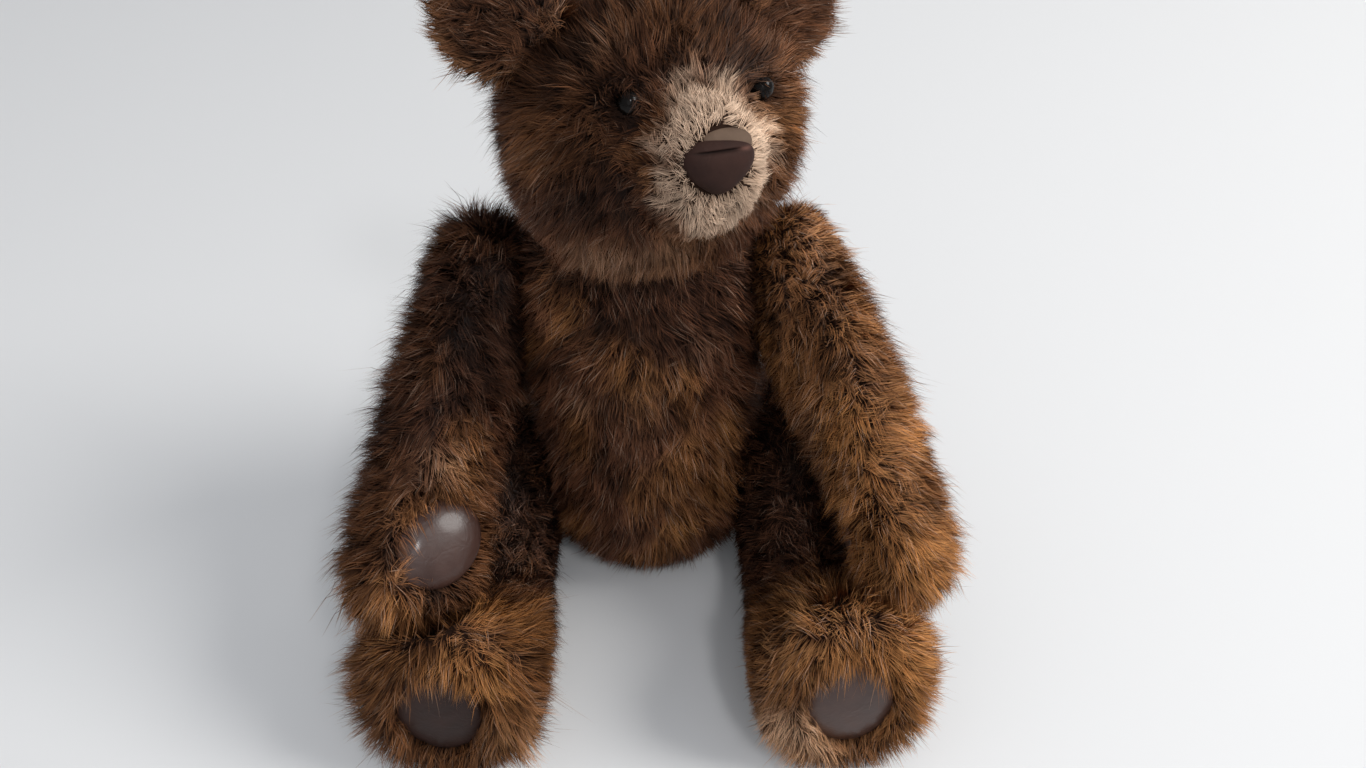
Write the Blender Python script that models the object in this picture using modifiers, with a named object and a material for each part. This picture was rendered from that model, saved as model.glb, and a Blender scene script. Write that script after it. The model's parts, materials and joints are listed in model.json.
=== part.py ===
# A seated fur teddy bear with disc joints at its neck, shoulders and hips.
# Metres, +Z up. The origin is on the floor under the middle of the seat.
# The bear faces -Y, so its own left is +X. The soft solids are the fur's outer
# form: pelt and filling together, sewn shut.

import math

import bmesh
import bpy
from mathutils import Matrix, Vector

# Clearances
SEAM_GAP = 0.0003
JOINT_GAP = 0.0008
REST_GAP = 0.0010
RUNNING_GAP = 0.00015

# Smoothness
CAGE_SIDES = 12
PAD_SIDES = 16
DISC_STEPS = 16
SMALL_STEPS = 12

# Torso
SEAT_HALF_WIDTH = 0.050
SEAT_HALF_DEPTH = 0.047
BELLY_HALF_WIDTH = 0.066
BELLY_HALF_DEPTH = 0.064
BELLY_HEIGHT = 0.062
CHEST_HALF_WIDTH = 0.066
CHEST_HALF_DEPTH = 0.052
CHEST_HEIGHT = 0.172
COLLAR_RADIUS = 0.037

# Neck joint
NECK_HEIGHT = 0.207
NECK_FORWARD = 0.004
NECK_TILT = math.radians(16)
HEAD_TURN = math.radians(22)

# Head, from the neck joint
HEAD_HEIGHT = 0.118
HEAD_HALF_WIDTH = 0.068
HEAD_HALF_DEPTH = 0.063
HEAD_FORWARD = 0.028
MUZZLE_REACH = 0.097
MUZZLE_HEIGHT = 0.053
MUZZLE_HALF_WIDTH = 0.031
MUZZLE_HALF_HEIGHT = 0.032

# Face
NOSE_HALF_WIDTH = 0.0155
NOSE_HALF_HEIGHT = 0.0130
NOSE_HALF_DEPTH = 0.0080
NOSE_HEIGHT = 0.059
NOSE_PROUD = 0.0040
NOSE_CREASE = 0.0012
EYE_RADIUS = 0.0054
EYE_SPREAD_LEFT = 0.035
EYE_SPREAD_RIGHT = 0.031
EYE_HEIGHT = 0.083
EYE_SUNK = 0.0035
SHANK_RADIUS = 0.0012
SHANK_LENGTH = 0.0100
EYE_PARTING = 0.0072

# Ears
EAR_RADIUS = 0.0265
EAR_HALF_THICKNESS = 0.0095
EAR_CUP = 0.0060
EAR_SPREAD = 0.062
EAR_HEIGHT_LEFT = 0.105
EAR_HEIGHT_RIGHT = 0.109
EAR_FORWARD = 0.028
EAR_TURN = math.radians(18)

# Shoulder joints
SHOULDER_HALF_SPAN = 0.054
SHOULDER_BACK = 0.006
SHOULDER_HEIGHT = 0.182
SHOULDER_YAW_LEFT = math.radians(15)
SHOULDER_YAW_RIGHT = math.radians(7)
SHOULDER_TILT = math.radians(5)
ARM_DROP = math.radians(36)

# Arms, from the shoulder joint
ARM_REACH = 0.180
ARM_HALF_HEIGHT = 0.034
ARM_HALF_THICKNESS = 0.028
ARM_TOP = 0.029
ARM_OUT = ARM_HALF_THICKNESS * 0.88
ARM_BOW = 0.022
ARM_LEAVING = math.radians(13)
ELBOW_SHARE = 0.3
PALM_TURN_LEFT = math.radians(-30)
PALM_TURN_RIGHT = math.radians(52)

# Hip joints
HIP_HEIGHT = 0.047
HIP_HALF_SPAN = 0.047
HIP_BACK = 0.010
HIP_YAW = math.radians(2)

# Legs, from the hip joint
LEG_REACH = 0.184
THIGH_RADIUS = 0.050
CALF_HALF_HEIGHT = 0.031
LEG_HALF_THICKNESS = 0.036
LEG_OUT = LEG_HALF_THICKNESS * 0.86
FOOT_HALF_HEIGHT = 0.051
FOOT_HALF_WIDTH = 0.047
LEG_SPREAD = 0.012
SOLE_LEAN = math.radians(8)

# Leather
LEATHER_THICKNESS = 0.0012
FOOT_PAD_HALF_WIDTH = 0.0205
FOOT_PAD_HALF_HEIGHT = 0.0275
FOOT_PAD_DOME = 0.0045
FOOT_PAD_SUNK = 0.0075
FOOT_PAD_OUTWARD = 0.0020
HAND_PAD_HALF_WIDTH = 0.0185
HAND_PAD_HALF_LENGTH = 0.0225
HAND_PAD_DOME = 0.0045
HAND_PAD_SUNK = 0.0030
HAND_PAD_SHARE = 0.77

# Joint hardware
WALL = 0.0040
NECK_DISC_RADIUS = 0.0200
SHOULDER_DISC_RADIUS = 0.0150
HIP_DISC_RADIUS = 0.0200
DISC_THICKNESS = 0.0030
WASHER_RADIUS = 0.0075
WASHER_THICKNESS = 0.0010
BOLT_RADIUS = 0.0024
BOLT_HEAD_RADIUS = 0.0050
BOLT_HEAD_THICKNESS = 0.0026
NUT_RADIUS = 0.0048
NUT_THICKNESS = 0.0036
BOLT_TIP = 0.0016


def new_collection(name):
    made = bpy.data.collections.new(name)
    bpy.context.scene.collection.children.link(made)
    return made


def new_material(name, colour, roughness, metallic=0.0):
    material = bpy.data.materials.new(name)
    material.use_nodes = True
    shader = material.node_tree.nodes["Principled BSDF"]
    shader.inputs["Base Color"].default_value = (*colour, 1.0)
    shader.inputs["Roughness"].default_value = roughness
    shader.inputs["Metallic"].default_value = metallic
    return material


def add_object(name, mesh, material, frame, parent=None):
    piece = bpy.data.objects.new(name, mesh)
    bear.objects.link(piece)
    if material and not mesh.materials:
        mesh.materials.append(material)
    if parent:
        piece.parent = parent
        piece.matrix_local = parent_frames[parent.name].inverted() @ frame
    else:
        piece.matrix_world = frame
    return piece


def add_cutter(name, mesh, frame):
    cutter = bpy.data.objects.new(name, mesh)
    cutters.objects.link(cutter)
    cutter.hide_render = True
    cutter.display_type = "WIRE"
    cutter.matrix_world = frame
    return cutter


def add_joint(name, frame):
    empty = bpy.data.objects.new(name, None)
    bear.objects.link(empty)
    empty.empty_display_size = WASHER_RADIUS
    empty.matrix_world = frame
    parent_frames[name] = frame
    return empty


def mesh_from(bm, name, smooth=True):
    bmesh.ops.recalc_face_normals(bm, faces=bm.faces)
    mesh = bpy.data.meshes.new(name)
    bm.to_mesh(mesh)
    bm.free()
    if smooth:
        mesh.shade_smooth()
    return mesh


def frame_at(place, up, ahead):
    """A frame with Z along up and X as near to ahead as that allows."""
    z = Vector(up).normalized()
    x = (Vector(ahead) - z * z.dot(Vector(ahead))).normalized()
    rotation = Matrix((x, z.cross(x), z)).transposed().to_4x4()
    return Matrix.Translation(place) @ rotation


def loft(name, rings, sides=CAGE_SIDES):
    """A closed skin through rings, each a matrix that places a unit circle."""
    bm = bmesh.new()
    loops = []
    for ring in rings:
        capped = ring is rings[0] or ring is rings[-1]
        made = bmesh.ops.create_circle(bm, cap_ends=capped, segments=sides, radius=1, matrix=ring)
        points = set(made["verts"])
        loops.append([edge for edge in bm.edges if set(edge.verts) <= points])
    for first, second in zip(loops, loops[1:]):
        bmesh.ops.bridge_loops(bm, edges=first + second)
    return mesh_from(bm, name)


def smooth_cage(piece, levels=1):
    modifier = piece.modifiers.new("smooth", "SUBSURF")
    modifier.levels = levels
    modifier.render_levels = levels


def boolean(piece, other, operation="DIFFERENCE"):
    modifier = piece.modifiers.new(other.name, "BOOLEAN")
    modifier.operation = operation
    modifier.solver = "EXACT"
    modifier.object = other


def grown(piece, gap):
    """A cutter with the smooth skin of a piece, moved outwards by a gap."""
    cutter = add_cutter(piece.name + "_grown", piece.data, world_frames[piece.name])
    smooth_cage(cutter)
    modifier = cutter.modifiers.new("gap", "DISPLACE")
    modifier.strength = gap
    modifier.mid_level = 0
    return cutter


def block(name, low, high, frame):
    """A box cutter between two corners of a frame."""
    low, high = Vector(low), Vector(high)
    bm = bmesh.new()
    place = Matrix.Translation((low + high) / 2) @ Matrix.Diagonal((*(high - low), 1))
    bmesh.ops.create_cube(bm, size=1, matrix=place)
    return add_cutter(name, mesh_from(bm, name, smooth=False), frame)


def turned_mesh(name, profile, steps):
    """A closed profile of (radius, height) points turned about Z, as a mesh."""
    mesh = bpy.data.meshes.new(name)
    closed = profile[0][0] > 0
    count = len(profile)
    edges = [(n, (n + 1) % count) for n in range(count if closed else count - 1)]
    mesh.from_pydata([(r, 0, z) for r, z in profile], edges, [])
    source = bpy.data.objects.new(name, mesh)
    bear.objects.link(source)
    screw = source.modifiers.new("turn", "SCREW")
    screw.steps = steps
    screw.render_steps = steps
    screw.use_merge_vertices = True
    screw.merge_threshold = 0.00001
    made = bpy.data.meshes.new_from_object(source.evaluated_get(bpy.context.evaluated_depsgraph_get()))
    bpy.data.objects.remove(source)
    bpy.data.meshes.remove(mesh)
    made.name = name
    bm = bmesh.new()
    bm.from_mesh(made)
    bmesh.ops.recalc_face_normals(bm, faces=bm.faces)
    bm.to_mesh(made)
    bm.free()
    made.shade_smooth()
    made.set_sharp_from_angle(angle=math.radians(40))
    return made


def nut_mesh():
    """A hexagonal nut, standing on z = 0, with a bore that clears the bolt."""
    bm = bmesh.new()
    middle = Matrix.Translation((0, 0, NUT_THICKNESS / 2))
    bmesh.ops.create_cone(
        bm, cap_ends=True, segments=6, radius1=NUT_RADIUS, radius2=NUT_RADIUS,
        depth=NUT_THICKNESS, matrix=middle,
    )
    body = bpy.data.objects.new("nut_body", mesh_from(bm, "nut_body", smooth=False))
    bear.objects.link(body)
    bm = bmesh.new()
    bore = BOLT_RADIUS + RUNNING_GAP
    bmesh.ops.create_cone(
        bm, cap_ends=True, segments=SMALL_STEPS, radius1=bore, radius2=bore,
        depth=NUT_THICKNESS * 2, matrix=middle,
    )
    boolean(body, add_cutter("nut_bore", mesh_from(bm, "nut_bore"), Matrix()))
    bpy.context.view_layer.update()
    depsgraph = bpy.context.evaluated_depsgraph_get()
    made = bpy.data.meshes.new_from_object(body.evaluated_get(depsgraph))
    bpy.data.objects.remove(body)
    return made


# Joint frames. Z is the joint's axis, out of the torso, and z = 0 is the plane
# between the torso and the limb. X points along the limb, or to the face.

def neck_frame():
    axis = Vector((0, math.sin(NECK_TILT), math.cos(NECK_TILT)))
    ahead = Vector((math.sin(HEAD_TURN), -math.cos(HEAD_TURN), 0))
    return frame_at((0, -NECK_FORWARD, NECK_HEIGHT), axis, ahead)


def shoulder_frame(side):
    yaw = SHOULDER_YAW_LEFT if side > 0 else SHOULDER_YAW_RIGHT
    flat = Vector((side * math.cos(yaw), math.sin(yaw), 0))
    axis = flat * math.cos(SHOULDER_TILT) - Vector((0, 0, math.sin(SHOULDER_TILT)))
    forward = Vector((side * math.sin(yaw), -math.cos(yaw), 0))
    along = forward * math.cos(ARM_DROP) - Vector((0, 0, math.sin(ARM_DROP)))
    return frame_at((side * SHOULDER_HALF_SPAN, SHOULDER_BACK, SHOULDER_HEIGHT), axis, along)


def hip_frame(side):
    axis = Vector((side * math.cos(HIP_YAW), math.sin(HIP_YAW), 0))
    along = Vector((side * math.sin(HIP_YAW), -math.cos(HIP_YAW), 0))
    return frame_at((side * HIP_HALF_SPAN, HIP_BACK, HIP_HEIGHT), axis, along)


def level_ring(height, centre_x, centre_y, half_x, half_y):
    return Matrix.Translation((centre_x, centre_y, height)) @ Matrix.Diagonal((half_x, half_y, 1, 1))


def limb_ring(side, along, up, out, half_up, half_out, twist=0.0, lean=0.0):
    """A ring across a limb, in its joint's frame. Up is away from the floor."""
    across = Matrix(((0, 0, 1), (-side, 0, 0), (0, 1, 0))).to_4x4()
    turn = Matrix.Rotation(lean, 4, "Y") @ Matrix.Rotation(twist, 4, "Z")
    size = Matrix.Diagonal((half_up, half_out, 1, 1))
    return Matrix.Translation((along, -side * up, out)) @ across @ turn @ size


# Torso

def make_torso():
    top = NECK_HEIGHT + COLLAR_RADIUS * math.sin(NECK_TILT)
    stations = (
        (-0.006, 0.0, SEAT_HALF_WIDTH * 0.86, SEAT_HALF_DEPTH * 0.86),
        (0.004, 0.0, SEAT_HALF_WIDTH, SEAT_HALF_DEPTH),
        (BELLY_HEIGHT * 0.38, 0.0, BELLY_HALF_WIDTH * 0.93, BELLY_HALF_DEPTH * 0.93),
        (BELLY_HEIGHT, 0.0, BELLY_HALF_WIDTH, BELLY_HALF_DEPTH),
        (BELLY_HEIGHT + (CHEST_HEIGHT - BELLY_HEIGHT) * 0.5, 0.3,
         BELLY_HALF_WIDTH * 0.97, BELLY_HALF_DEPTH * 0.5 + CHEST_HALF_DEPTH * 0.5),
        (CHEST_HEIGHT, 0.6, CHEST_HALF_WIDTH, CHEST_HALF_DEPTH),
        ((CHEST_HEIGHT + top) / 2, 0.4, CHEST_HALF_WIDTH * 0.93, CHEST_HALF_DEPTH * 0.88),
        (top, -0.2, COLLAR_RADIUS * 1.15, COLLAR_RADIUS),
        (top + COLLAR_RADIUS * 0.2, -0.4, COLLAR_RADIUS * 0.6, COLLAR_RADIUS * 0.6),
    )
    rings = [
        level_ring(height, 0, share * SHOULDER_BACK, half_x, half_y)
        for height, share, half_x, half_y in stations
    ]
    torso = add_object("torso", loft("torso", rings), fur, Matrix())
    smooth_cage(torso)
    reach = BELLY_HALF_WIDTH * 2
    boolean(torso, block("floor_cutter", (-reach, -reach, -reach), (reach, reach, 0), Matrix()))
    half_gap = JOINT_GAP / 2
    boolean(torso, block("neck_cutter", (-reach, -reach, -half_gap), (reach, reach, reach), neck))
    for side, label in SIDES:
        # The arm turns in a round flat on the torso
        bm = bmesh.new()
        bmesh.ops.create_cone(
            bm, cap_ends=True, segments=32, radius1=ARM_HALF_HEIGHT * 1.3, radius2=ARM_HALF_HEIGHT * 1.3,
            depth=reach, matrix=Matrix.Translation((0, 0, reach / 2 - half_gap)),
        )
        flat = add_cutter(f"arm_flat_{label}", mesh_from(bm, f"arm_flat_{label}"), shoulders[side])
        boolean(torso, flat)
        # The thigh turns beside the seat, under the overhanging belly
        low, high = -reach, THIGH_RADIUS + JOINT_GAP
        corners = sorted((-side * low, -side * high))
        boolean(torso, block(
            f"leg_flat_{label}", (-reach, corners[0], -half_gap), (reach, corners[1], reach), hips[side],
        ))
    return torso


# Head

def make_head():
    stations = (
        (-0.05, 0.45, 0.52, 0.52),
        (0.07, 0.60, 0.66, 0.67),
        (0.20, 0.80, 0.85, 0.87),
        (0.38, 0.96, 0.98, 0.99),
        (0.58, 1.00, 0.97, 0.97),
        (0.77, 0.92, 0.83, 0.86),
        (0.91, 0.82, 0.57, 0.61),
        (0.985, 0.76, 0.24, 0.24),
    )
    rings = [
        level_ring(rise * HEAD_HEIGHT, ahead * HEAD_FORWARD, 0, deep * HEAD_HALF_DEPTH, wide * HEAD_HALF_WIDTH)
        for rise, ahead, deep, wide in stations
    ]
    head = add_object("head", loft("head", rings), fur, neck, joints["neck"])
    smooth_cage(head)
    muzzle_rings = [
        Matrix.Translation((reach * MUZZLE_REACH, 0, MUZZLE_HEIGHT))
        @ Matrix.Rotation(math.pi / 2, 4, "Y")
        @ Matrix.Diagonal((size * MUZZLE_HALF_HEIGHT, size * MUZZLE_HALF_WIDTH, 1, 1))
        for reach, size in ((0.50, 0.9), (0.66, 1.1), (0.84, 1.02), (0.95, 0.80), (1.0, 0.45))
    ]
    muzzle = add_cutter("muzzle", loft("muzzle", muzzle_rings), neck)
    smooth_cage(muzzle)
    boolean(head, muzzle, "UNION")
    half_gap, reach = JOINT_GAP / 2, HEAD_HEIGHT * 2
    boolean(head, block("chin_cutter", (-reach, -reach, -reach), (reach, reach, half_gap), neck))
    return head


def make_ear(side, label, head_skin):
    """A cupped round ear, trimmed where it is sewn to the head."""
    bm = bmesh.new()
    size = Matrix.Diagonal((EAR_HALF_THICKNESS, EAR_RADIUS, EAR_RADIUS, 1))
    bmesh.ops.create_icosphere(bm, subdivisions=3, radius=1, matrix=size)
    for vert in bm.verts:
        spread = (vert.co.y**2 + vert.co.z**2) / EAR_RADIUS**2
        vert.co.x += EAR_CUP * (spread - 0.5)
    height = EAR_HEIGHT_LEFT if side > 0 else EAR_HEIGHT_RIGHT
    place = Matrix.Translation((EAR_FORWARD, side * EAR_SPREAD, height))
    frame = neck @ place @ Matrix.Rotation(side * EAR_TURN, 4, "Z")
    ear = add_object(f"ear_{label}", mesh_from(bm, f"ear_{label}"), fur, frame, joints["neck"])
    boolean(ear, head_skin)


def make_nose(head):
    """A stuffed leather nose: wide on top, round below, creased across."""
    bm = bmesh.new()
    bmesh.ops.create_uvsphere(bm, u_segments=16, v_segments=12, radius=1)
    for vert in bm.verts:
        along, across, up = vert.co.x, vert.co.y, vert.co.z
        wide = 1.0 + 0.30 * up - 0.18 * up * up
        flat_top = up - 0.22 * max(up, 0.0) ** 2
        crease = NOSE_CREASE * math.exp(-(((up - 0.52) / 0.13) ** 2)) if along > 0 else 0.0
        vert.co = (
            along * NOSE_HALF_DEPTH - crease * along,
            across * wide * NOSE_HALF_WIDTH,
            flat_top * NOSE_HALF_HEIGHT,
        )
    place = Matrix.Translation((MUZZLE_REACH - NOSE_HALF_DEPTH + NOSE_PROUD, 0, NOSE_HEIGHT))
    nose = add_object("nose", mesh_from(bm, "nose"), leather, neck @ place, joints["neck"])
    seat = add_cutter("nose_seat", nose.data, neck @ place)
    modifier = seat.modifiers.new("gap", "DISPLACE")
    modifier.strength = SEAM_GAP
    modifier.mid_level = 0
    boolean(head, seat)


def eye_profile(gap, parting):
    """The eye's outline, ball then shank, or with a gap and a parting its socket."""
    radius, shank = EYE_RADIUS + gap, SHANK_RADIUS + gap
    start = math.asin(shank / radius)
    turns = 7
    arc = []
    for n in range(turns + 1):
        angle = n / turns * (math.pi - start)
        arc.append((radius * math.sin(angle), radius * math.cos(angle)))
    tail = [(shank, -EYE_RADIUS - SHANK_LENGTH - gap), (0, -EYE_RADIUS - SHANK_LENGTH - gap)]
    if parting:
        wide = [point for point in arc if point[1] <= 0]
        mouth = EYE_RADIUS * 3
        return [(0, mouth), (parting * 1.8, mouth), (max(parting, radius), EYE_SUNK)] + wide + tail
    return [(0, radius)] + arc[1:] + tail


def make_eye(side, label, head):
    height = EYE_HEIGHT / HEAD_HEIGHT
    spread = EYE_SPREAD_LEFT if side > 0 else EYE_SPREAD_RIGHT
    middle = Vector((HEAD_FORWARD, 0, HEAD_HEIGHT * 0.48))
    reach = HEAD_HALF_DEPTH * math.sqrt(max(0.0, 1 - (spread / HEAD_HALF_WIDTH) ** 2))
    reach *= math.sqrt(max(0.0, 1 - ((height - 0.48) / 0.54) ** 2))
    surface = Vector((HEAD_FORWARD + reach, side * spread, EYE_HEIGHT))
    out = (surface - middle).normalized()
    place = surface - out * (EYE_RADIUS + EYE_SUNK)
    frame = neck @ frame_at(place, out, (0, 0, 1))
    eye = add_object(
        f"eye_{label}", turned_mesh(f"eye_{label}", eye_profile(0, 0), SMALL_STEPS), glass, frame, joints["neck"],
    )
    socket = turned_mesh(f"socket_{label}", eye_profile(SEAM_GAP, EYE_PARTING), SMALL_STEPS)
    boolean(head, add_cutter(f"socket_{label}", socket, frame))
    return eye


# Limbs

def arm_rings(side, twist):
    """Shoulder cap, upper arm, a bow outwards past the belly, then the paw."""
    stations = (
        (-0.93, 0.58, 0.48, -0.10, 0.0),
        (-0.62, 0.87, 0.80, -0.10, 0.0),
        (0.00, 1.00, 1.00, -0.08, 0.0),
        (0.18, 1.04, 1.00, 0.10, 0.1),
        (0.36, 1.02, 0.98, 0.55, 0.3),
        (0.54, 0.96, 0.94, 0.85, 0.6),
        (0.70, 0.98, 0.92, 1.06, 0.9),
        (0.84, 1.04, 0.90, 1.10, 1.0),
        (0.94, 0.90, 0.78, 1.06, 1.0),
        (0.99, 0.52, 0.44, 1.00, 1.0),
    )
    rings = []
    for share, tall, thick, bow, turn in stations:
        along = share * (ARM_REACH if share > 0 else ARM_TOP)
        out = ARM_OUT + bow * ARM_BOW
        rings.append(limb_ring(
            side, along, 0.0, out, tall * ARM_HALF_HEIGHT, thick * ARM_HALF_THICKNESS, turn * twist,
        ))
    return rings


def leg_rings(side):
    """Round thigh, calf, then a broad foot that stands up from the leg."""
    foot = FOOT_HALF_HEIGHT / THIGH_RADIUS
    calf = CALF_HALF_HEIGHT / THIGH_RADIUS
    stations = (
        (-0.95, 0.42, 0.45, 0.0),
        (-0.72, 0.76, 0.72, 0.0),
        (-0.30, 1.00, 0.90, 0.1),
        (0.10, 1.00, 1.00, 0.3),
        (0.34, (1 + calf) / 2, 0.90, 0.2),
        (0.55, calf, 0.84, 0.3),
        (0.68, (foot + calf) / 2, FOOT_HALF_WIDTH / LEG_HALF_THICKNESS * 0.97, 1.0),
        (0.80, foot, FOOT_HALF_WIDTH / LEG_HALF_THICKNESS, 1.0),
        (0.92, foot * 0.97, FOOT_HALF_WIDTH / LEG_HALF_THICKNESS * 0.97, 1.0),
        (0.99, foot * 0.74, FOOT_HALF_WIDTH / LEG_HALF_THICKNESS * 0.74, 1.0),
    )
    rings = []
    for share, tall, wide, spread in stations:
        along = share * (LEG_REACH if share > 0 else THIGH_RADIUS)
        up = (tall - 1) * THIGH_RADIUS if abs(share) > 0.3 and share > 0 else 0.0
        out = LEG_OUT + spread * LEG_SPREAD
        lean = SOLE_LEAN * max(0.0, (share - 0.5) * 2)
        rings.append(limb_ring(
            side, along, up, out, tall * THIGH_RADIUS, wide * LEG_HALF_THICKNESS, lean=lean,
        ))
    return rings


def make_limb(name, rings, frame, joint):
    limb = add_object(name, loft(name, rings), fur, frame, joint)
    smooth_cage(limb)
    reach = ARM_REACH + LEG_REACH
    face = JOINT_GAP / 2
    boolean(limb, block(name + "_face", (-reach, -reach, -reach), (reach, reach, face), frame))
    return limb


def leaving_room(arm, side):
    """A cutter round the forearm's cage at rest and a little raised."""
    bm = bmesh.new()
    for turn in (0.0, ARM_LEAVING):
        raised = Matrix.Rotation(-side * turn, 4, "Z")
        for vert in arm.data.vertices:
            if vert.co.x > ARM_REACH * ELBOW_SHARE:
                bm.verts.new(raised @ vert.co)
    hull = bmesh.ops.convex_hull(bm, input=bm.verts)
    inner = [part for part in hull["geom_interior"] if isinstance(part, bmesh.types.BMVert)]
    bmesh.ops.delete(bm, geom=inner, context="VERTS")
    return add_cutter(arm.name + "_leaving", mesh_from(bm, arm.name + "_leaving"), world_frames[arm.name])


def dome_mesh(name, half_a, half_b, dome):
    """An open domed sheet with an oval edge, its middle at z = 0."""
    bm = bmesh.new()
    loops = []
    for share in (0.0, 0.40, 0.75, 1.0):
        size = max(share, 0.12)
        ring = Matrix.Translation((0, 0, -dome * share**2)) @ Matrix.Diagonal((size * half_a, size * half_b, 1, 1))
        made = bmesh.ops.create_circle(bm, cap_ends=share == 0.0, segments=PAD_SIDES, radius=1, matrix=ring)
        points = set(made["verts"])
        loops.append([edge for edge in bm.edges if set(edge.verts) <= points])
    for first, second in zip(loops, loops[1:]):
        bmesh.ops.bridge_loops(bm, edges=first + second)
    mesh = mesh_from(bm, name)
    if mesh.polygons[0].normal.z < 0:
        mesh.flip_normals()
    return mesh


def make_pad(name, half_a, half_b, dome, frame, joint, limb):
    """A leather pad, and the seat for it that the fur leaves on the limb."""
    pad = add_object(name, dome_mesh(name, half_a, half_b, dome), leather, frame, joint)
    sheet = pad.modifiers.new("leather", "SOLIDIFY")
    sheet.thickness = LEATHER_THICKNESS
    sheet.offset = -1
    lower = frame @ Matrix.Translation((0, 0, -LEATHER_THICKNESS - SEAM_GAP * 2))
    room_a, room_b = half_a + SEAM_GAP * 2, half_b + SEAM_GAP * 2
    seat_mesh = dome_mesh(name + "_seat", room_a, room_b, dome * (room_b / half_b) ** 2)
    seat = add_cutter(name + "_seat", seat_mesh, lower)
    room = seat.modifiers.new("room", "SOLIDIFY")
    room.thickness = half_b
    room.offset = 1
    boolean(limb, seat)
    return pad


# Joint hardware

def ring_profile(outer, inner, low, high):
    return [(outer, high), (outer, low), (inner, low), (inner, high)]


def make_joint_hardware(name, frame, disc_radius, torso, limb, joint):
    """Two discs held together through the two skins by a bolt and a lock nut."""
    bore = BOLT_RADIUS + RUNNING_GAP
    face = JOINT_GAP / 2
    disc_low = face + WALL + SEAM_GAP
    disc_high = disc_low + DISC_THICKNESS
    washer_low = disc_high + SEAM_GAP
    washer_high = washer_low + WASHER_THICKNESS
    end = washer_high + SEAM_GAP
    head_end = end + BOLT_HEAD_THICKNESS
    nut_end = end + NUT_THICKNESS
    tip = nut_end + BOLT_TIP

    def turned(suffix, profile, steps, material, parent):
        piece_name = f"{name}_{suffix}"
        return add_object(piece_name, turned_mesh(piece_name, profile, steps), material, frame, parent)

    turned("body_disc", ring_profile(disc_radius, bore, -disc_high, -disc_low), DISC_STEPS, board, None)
    turned("limb_disc", ring_profile(disc_radius, bore, disc_low, disc_high), DISC_STEPS, board, joint)
    turned("body_washer", ring_profile(WASHER_RADIUS, bore, -washer_high, -washer_low), SMALL_STEPS, steel, None)
    turned("limb_washer", ring_profile(WASHER_RADIUS, bore, washer_low, washer_high), SMALL_STEPS, steel, joint)
    bolt = [
        (0, head_end), (BOLT_HEAD_RADIUS * 0.6, head_end),
        (BOLT_HEAD_RADIUS, end + BOLT_HEAD_THICKNESS * 0.5), (BOLT_HEAD_RADIUS, end),
        (BOLT_RADIUS, end), (BOLT_RADIUS, -tip), (0, -tip),
    ]
    turned("bolt", bolt, SMALL_STEPS, steel, joint)
    nut_place = frame @ Matrix.Translation((0, 0, -nut_end))
    add_object(f"{name}_lock_nut", nut, steel, nut_place, joint)

    # The pockets open to the outside through the bolt's hole
    for piece, sign, deep, suffix in ((torso, -1, tip, "body"), (limb, 1, head_end, "limb")):
        profile = [
            (0, -face), (bore, -face), (bore, face + WALL), (disc_radius + SEAM_GAP, face + WALL),
            (disc_radius + SEAM_GAP, washer_low), (WASHER_RADIUS + SEAM_GAP, washer_low),
            (WASHER_RADIUS + SEAM_GAP, deep + SEAM_GAP), (0, deep + SEAM_GAP),
        ]
        points = [(radius, sign * height) for radius, height in profile]
        pocket = turned_mesh(f"{name}_{suffix}_pocket", points, DISC_STEPS)
        boolean(piece, add_cutter(f"{name}_{suffix}_pocket", pocket, frame))


for old in list(bpy.data.objects):
    bpy.data.objects.remove(old, do_unlink=True)

SIDES = ((1, "left"), (-1, "right"))
bear = new_collection("teddy_bear")
cutters = new_collection("cutters")
parent_frames = {}
world_frames = {}

fur = new_material("brown_fur", (0.115, 0.052, 0.024), 0.85)
leather = new_material("dark_leather", (0.055, 0.037, 0.034), 0.42)
glass = new_material("dark_glass", (0.010, 0.007, 0.006), 0.08)
board = new_material("hardboard", (0.30, 0.19, 0.10), 0.80)
steel = new_material("zinc_steel", (0.62, 0.62, 0.60), 0.35, 0.9)

neck = neck_frame()
shoulders = {side: shoulder_frame(side) for side, label in SIDES}
hips = {side: hip_frame(side) for side, label in SIDES}
joints = {"neck": add_joint("neck_joint", neck)}
nut = nut_mesh()

torso = make_torso()
head = make_head()
world_frames["head"] = neck
head_skin = grown(head, SEAM_GAP)
make_nose(head)
for side, label in SIDES:
    make_ear(side, label, head_skin)
    make_eye(side, label, head)
make_joint_hardware("neck", neck, NECK_DISC_RADIUS, torso, head, joints["neck"])

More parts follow.
